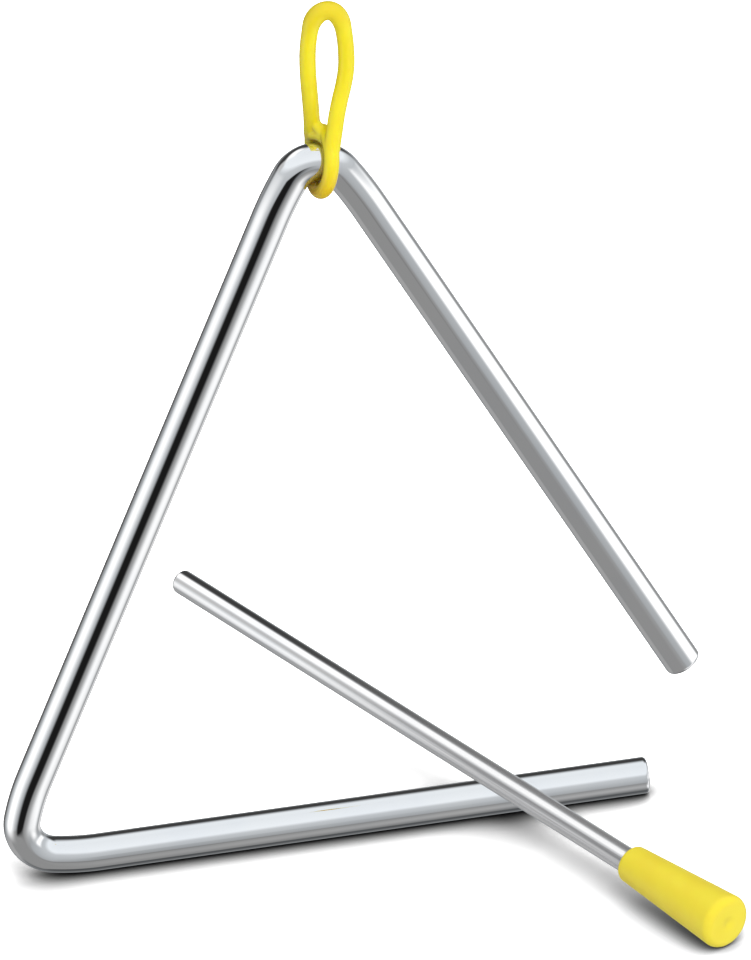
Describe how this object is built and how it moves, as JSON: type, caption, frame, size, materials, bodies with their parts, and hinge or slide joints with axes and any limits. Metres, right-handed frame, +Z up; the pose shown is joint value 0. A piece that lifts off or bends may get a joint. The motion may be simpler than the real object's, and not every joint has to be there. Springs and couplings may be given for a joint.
{
  "type": "triangle instrument",
  "caption": "Hand percussion triangle: a bent round steel rod with one open corner, a soft hanging loop at its apex, and a steel beater with a tapered grip lying across the bottom leg.",
  "frame": {"origin": "middle of the hanging loop's opening, where a finger or a hook carries the instrument", "axes": "+Z up, from the bottom leg to the loop; +X along the bottom leg from the closed corner to the open one; +Y through the triangle, away from the player"},
  "size_m": [0.153, 0.1664, 0.1955],
  "materials": {
    "loop_plastic": "soft, glossy",
    "polished_steel": "mirror polished",
    "beater_steel": "fine lengthwise brushing",
    "grip_plastic": "satin"
  },
  "bodies": {
    "loop": {"hanging_loop": "loop_plastic"},
    "triangle": {"triangle_rod": "polished_steel"},
    "beater": {"beater_rod": "beater_steel", "beater_grip": "grip_plastic"}
  },
  "joints": [
    {"name": "triangle_swing", "type": "hinge", "parent": "loop", "child": "triangle", "pos_m": [-0.00245, 0, -0.01995], "axis": [1, 0, 0], "range_deg": [-15, 60]},
    {"name": "beater_lift", "type": "slide", "parent": "triangle", "child": "beater", "axis": [0, 0, 1], "range_m": [0, 0.06]}
  ]
}
